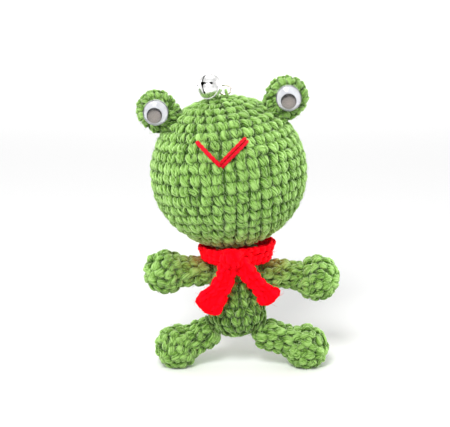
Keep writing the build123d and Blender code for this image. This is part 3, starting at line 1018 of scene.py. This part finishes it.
MOUTH_CORNERS = {"right": (-8.3, 13.5), "left": (6.7, 12.9)}  # across and up the head, in mm
MOUTH_POINTS = {"right": (-2.1, 6.5), "left": (-1.55, 6.6)}
MOUTH_STRANDS = {"right": ((0.0,), 0.74), "left": ((-0.55, 0.55), 0.62)}  # offsets, radius in mm
MOUTH_STEPS = (0.04, 0.25, 0.5, 0.75, 0.96)  # along a strand
MOUTH_LIFTS = (-1.3, 0.3, 0.85, 0.95, 0.9, 0.5, -1.2)  # in mm, there and past both its ends
LOOP_AXIS = np.array((0.9659, 0.1983, 0.1664))  # through its hole, as the jump ring runs
LOOP_R, LOOP_YARN_R = 1.1 * MM, 0.42 * MM


def on_face(across, up, lift, skin):
    """A place on the front of the head, lift in front of the CAD's surface."""
    start = HEAD + HEAD_ACROSS * across * MM + HEAD_UP * up * MM + FRONT * 0.1
    place, normal, *_ = skin.ray_cast(Vector(start), Vector(-FRONT))
    return np.array(place + normal * lift)


def make_mouth():
    skin = skin_of("head_cover")
    for side, (strands, radius) in MOUTH_STRANDS.items():
        piece = Piece()
        corner, point = np.array(MOUTH_CORNERS[side]), np.array(MOUTH_POINTS[side])
        direction = unit(point - corner)
        sideways = np.array((-direction[1], direction[0]))
        for k, offset in enumerate(strands):
            ends = [corner + sideways * offset, point + sideways * offset]
            places = [ends[0] - direction * 0.3]
            places += [ends[0] + (ends[1] - ends[0]) * t for t in MOUTH_STEPS]
            places.append(ends[1] + direction * 0.3)
            lifted = [on_face(*p, lift * MM, skin) for p, lift in zip(places, MOUTH_LIFTS)]
            path = smooth_path(lifted, 30)
            add_yarn(piece, path, radius * MM, turn_length=4.5 * MM, phase=0.3 * k)
        obj = piece.build(side + "_mouth_yarn", mouth_red)
        finish_piece(obj, [side + "_mouth_stitch"], "head")


def make_crown_loop():
    """The yarn loop that the jump ring hangs through."""
    piece = Piece()
    path = ring_path(middle_of("crown_loop"), LOOP_AXIS, LOOP_R, 24)
    add_yarn(piece, path, LOOP_YARN_R, turn_length=3 * MM, looped=True, corners=9)
    finish_piece(piece.build("crown_loop_yarn", green), ["crown_loop"], "head")


make_mouth()
make_crown_loop()


# ---- The scarf

RED_SIZE = 0.72
RED_INSET = STITCH_RISE * RED_SIZE * 0.8
BAND_MIDDLE = np.array((BODY_X, 0, 0))
BAND_LOW = ((7.6, 36.6), (11.2, 36.2))  # the band's lower corners as (radius, height) in mm
BAND_DIP = 1.0  # the outer one's, in front
BAND_TOP_R = (7.4, 12.3)  # its upper corners' radii, inner and outer
BAND_HIGHEST = 44.0
BAND_GAPS = (1.2, 0.5)  # room under the head at those corners
REAR_ROOM, FRONT_ROOM = 1.1, 0.3  # more, for the head to turn and tilt
HEAD_R, TILT = 24.8, math.radians(6)  # the head's radius in mm, and its tilt to its left
SCARF_COLUMNS, BAND_ROWS = 28, 64  # of mesh, round a section and round the band
BAND_ROUNDS, TAIL_ROUNDS, KNOT_ROUNDS = 28, 6, 3


def under_head(x, y):
    """Height of the head's underside over a place, in mm."""
    x_from, z = x - HEAD[0] / MM, HEAD[2] / MM
    return z - math.sqrt(HEAD_R**2 - x_from**2 - y**2)


def band_corners(angle):
    """The band's section at an angle from the front, with its top just under the head."""
    facing = math.cos(angle)
    inner, (radius, height) = BAND_LOW
    corners = [inner, (radius, height - BAND_DIP * max(0, facing))]
    for radius, gap in zip(reversed(BAND_TOP_R), reversed(BAND_GAPS)):
        x, y = BODY_X / MM + radius * math.sin(angle), -radius * facing
        room = gap + max(0, x) * math.sin(TILT) + REAR_ROOM * max(0, -facing)
        room += FRONT_ROOM * max(0, facing) ** 2
        corners.append((radius, min(under_head(x, y) - room, BAND_HIGHEST)))
    return corners


def rounded_section(corners, inset):
    """A closed section with soft corners through a four-cornered outline drawn in by inset."""
    corners = np.array(corners, float) * MM
    centre = corners.mean(axis=0)
    closed = np.vstack([corners, corners[:1]])
    points = resampled(closed, 81)[:-1]
    for _ in range(3):
        points = (np.roll(points, 1, axis=0) + 2 * points + np.roll(points, -1, axis=0)) / 4
    offset = points - centre
    reach = np.linalg.norm(offset, axis=1, keepdims=True)
    points = centre + offset * (1 - inset / reach)
    return resampled(np.vstack([points, points[:1]]), SCARF_COLUMNS + 1)[:-1]


def red_fabric(name, surface, rounds, seed, fuzz_seed, where, **how):
    """A scarf piece. where is the part of it that has loose fibres."""
    piece = Piece()
    add_ground(piece, surface, 0.2 * MM)
    add_stitches(piece, surface, rounds, seed, RED_SIZE, **how)
    add_fuzz(piece, surface, fuzz_seed, **where)
    return piece.build(name + "_fabric", red)


def make_band():
    grid = []
    for angle in angles(BAND_ROWS):
        spoke = np.array((math.sin(angle), -math.cos(angle), 0))
        section = rounded_section(band_corners(angle), RED_INSET)
        swell = 1 + 0.025 * math.sin(5 * angle + 1) + 0.02 * math.sin(8 * angle)
        grid.append(BAND_MIDDLE + section[:, :1] * swell * spoke + section[:, 1:] * UP)
    surface = Surface(np.array(grid), looped=True)
    where = {"sector": (0.22, 0.38)}  # its outer side, clear of the head and the arms
    how = {"relief": 0.8, "twist": 0.15}
    obj = red_fabric("scarf_band", surface, BAND_ROUNDS, 61, 62, where, **how)
    finish_piece(obj, ["scarf_band"], "torso")


RIBBON_ROWS = 26
RIBBON_CLOSE = 0.09  # of its length, over which each end closes
RIBBON_BOXY = (0.5, 0.8)  # powers that square its section off, where 1 gives an ellipse


def ribbon(centres, widths, thick):
    """A grid round a flat strip that faces front, tapered shut at both ends."""
    t = np.linspace(0, 1, RIBBON_ROWS)
    centres = smooth_path(centres, RIBBON_ROWS)
    widths = np.interp(t, np.linspace(0, 1, len(widths)), widths)
    along = np.gradient(centres, axis=0)
    close = np.clip(np.minimum(t, 1 - t) / RIBBON_CLOSE, 0, 1)
    close = np.sqrt(1 - (1 - close) ** 2)
    cos, sin = np.cos(angles(SCARF_COLUMNS)), np.sin(angles(SCARF_COLUMNS))
    section_x = np.sign(cos) * np.abs(cos) ** RIBBON_BOXY[0]
    section_y = np.sign(sin) * np.abs(sin) ** RIBBON_BOXY[1]
    grid = []
    for k in range(RIBBON_ROWS):
        side = unit(np.cross(along[k], FRONT))
        face = unit(np.cross(side, along[k]))
        x = section_x * widths[k] / 2 * close[k]
        y = section_y * thick / 2 * close[k] ** 0.7
        grid.append(centres[k] + np.outer(x, side) + np.outer(y, face))
    return np.array(grid)


TAIL_THICK = 2.6 * MM
# A tail's middle line as (x, y, z) and its widths from the knot down, in mm
TAILS = {
    "right": (
        ((-3.0, -13.0, 38.0), (-4.1, -13.4, 33.5), (-6.5, -13.3, 28.3), (-10.8, -13.2, 22.8)),
        (6.2, 6.2, 7.0, 10.4),
    ),
    "left": (
        ((-0.2, -13.0, 38.2), (3.4, -13.4, 33.8), (6.9, -13.3, 29.6), (10.5, -13.2, 25.6)),
        (6.0, 5.8, 5.4, 9.0),
    ),
}


def make_tail(side):
    places, widths = TAILS[side]
    widths = np.array(widths) * MM - 2 * RED_INSET
    grid = ribbon(np.array(places) * MM, widths, TAIL_THICK - 1.5 * RED_INSET)
    seeds = 71 + SIDES[side], 75 + SIDES[side]
    obj = red_fabric(side + "_tail", Surface(grid), TAIL_ROUNDS, *seeds, {}, twist=0.3)
    finish_piece(obj, [side + "_scarf_tail"])
    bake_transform(obj)


KNOT_FLAT = 0.6  # its depth, for its width
KNOT_SHIFT = -1.3 * MM


def make_knot():
    centre = middle_of("scarf_knot")
    outline = cad_outline("scarf_knot", centre, UP, ALONG_X, RED_INSET, 16)
    grid = revolved(outline, centre, UP, ALONG_X, 30)
    grid[..., 1] = centre[1] + (grid[..., 1] - centre[1]) * KNOT_FLAT
    grid[..., 0] += KNOT_SHIFT
    where = {"end": 0.7}  # not at its top, which is close under the head
    how = {"relief": 0.9, "twist": 0.25}
    obj = red_fabric("scarf_knot", Surface(grid), KNOT_ROUNDS, 81, 82, where, **how)
    finish_piece(obj, ["scarf_knot"], "torso")


make_band()
make_knot()
for side in SIDES:
    make_tail(side)


# ---- The hard parts, shown as the frame has them

HARD = {
    "eye_back": (eye_white, "eye_back"),
    "eye_dome": (dome_clear, "eye_dome"),
    "pupil": (pupil_black, "pupil"),
    "eye_glue": (glue_pale, "glue"),
    "bell_crown": (silver, "bell_plating"),
    "bell_mouth": (silver, "bell_plating"),
    "bell_shank": (silver, "bell_plating"),
    "bell_pellet": (steel, "steel"),
    "jump_ring": (steel, "steel"),
}

for name, node in frame["nodes"].items():
    kind = name.removeprefix("right_").removeprefix("left_")
    if kind in HARD:
        material, slot = HARD[kind]
        node.data.materials.clear()
        node.data.materials.append(material)


# ---- Floor, light and camera


def make_stage():
    bpy.ops.mesh.primitive_plane_add(size=8)
    floor = bpy.context.object
    floor.name = "floor"
    pale = hard_material("floor_look", (0.95, 0.95, 0.95), (0.94, 0.94, 0.94), 2, 0.8)
    floor.data.materials.append(pale)
    world = bpy.data.worlds.new("studio")
    bpy.context.scene.world = world
    world.use_nodes = True
    background = world.node_tree.nodes["Background"]
    background.inputs[0].default_value = (1.0, 1.0, 1.0, 1)
    background.inputs[1].default_value = 0.80


def area_light(name, place, aim, size, watts, spread=180):
    light = bpy.data.lights.new(name, "AREA")
    light.shape, light.size, light.energy, light.spread = "DISK", size, watts, math.radians(spread)
    lamp = added(name, light)
    lamp.location = place
    lamp.rotation_euler = (Vector(aim) - Vector(place)).to_track_quat("-Z", "Y").to_euler()
    return lamp


def spare_floor(lamp):
    """Keeps a lamp's light off the floor, so that it brightens the doll's edges only."""
    spared = bpy.data.collections.new(lamp.name + "_spares")
    spared.objects.link(bpy.data.objects["floor"])
    spared.collection_objects[0].light_linking.link_state = "EXCLUDE"
    lamp.light_linking.receiver_collection = spared


CAMERA_AIM = mm(-4.403, 0, 50.849)
CAMERA_RISE = math.radians(12)
CAMERA_AWAY = 0.55
SENSOR_MM, LENS_MM = 36, 137.5


def make_camera():
    """Straight in front of the doll, looking down a little."""
    target = Vector(CAMERA_AIM)
    data = bpy.data.cameras.new("camera")
    data.sensor_width, data.lens = SENSOR_MM, LENS_MM
    data.clip_start, data.clip_end = 0.01, 100
    camera = added("camera", data)
    back = Vector((0, -math.cos(CAMERA_RISE), math.sin(CAMERA_RISE)))
    camera.location = target + back * CAMERA_AWAY
    camera.rotation_euler = (target - camera.location).to_track_quat("-Z", "Y").to_euler()
    bpy.context.scene.camera = camera


make_stage()
area_light("key_light", (-0.12, -0.62, 0.52), (0, 0, 0.05), 0.28, 6.0)
area_light("backdrop_light", (0, 1.35, 0.9), (0, 1.35, 0), 1.0, 7.0, spread=70)
spare_floor(area_light("left_rim_light", (0.45, 0.2, 0.14), (0, 0, 0.06), 0.35, 0.65, spread=60))
spare_floor(area_light("right_rim_light", (-0.45, 0.2, 0.14), (0, 0, 0.06), 0.35, 0.4, spread=60))
spare_floor(area_light("top_rim_light", (0, 0.2, 0.5), (0, 0, 0.08), 0.3, 0.3, spread=60))
make_camera()
bpy.context.scene.view_settings.view_transform = "Standard"
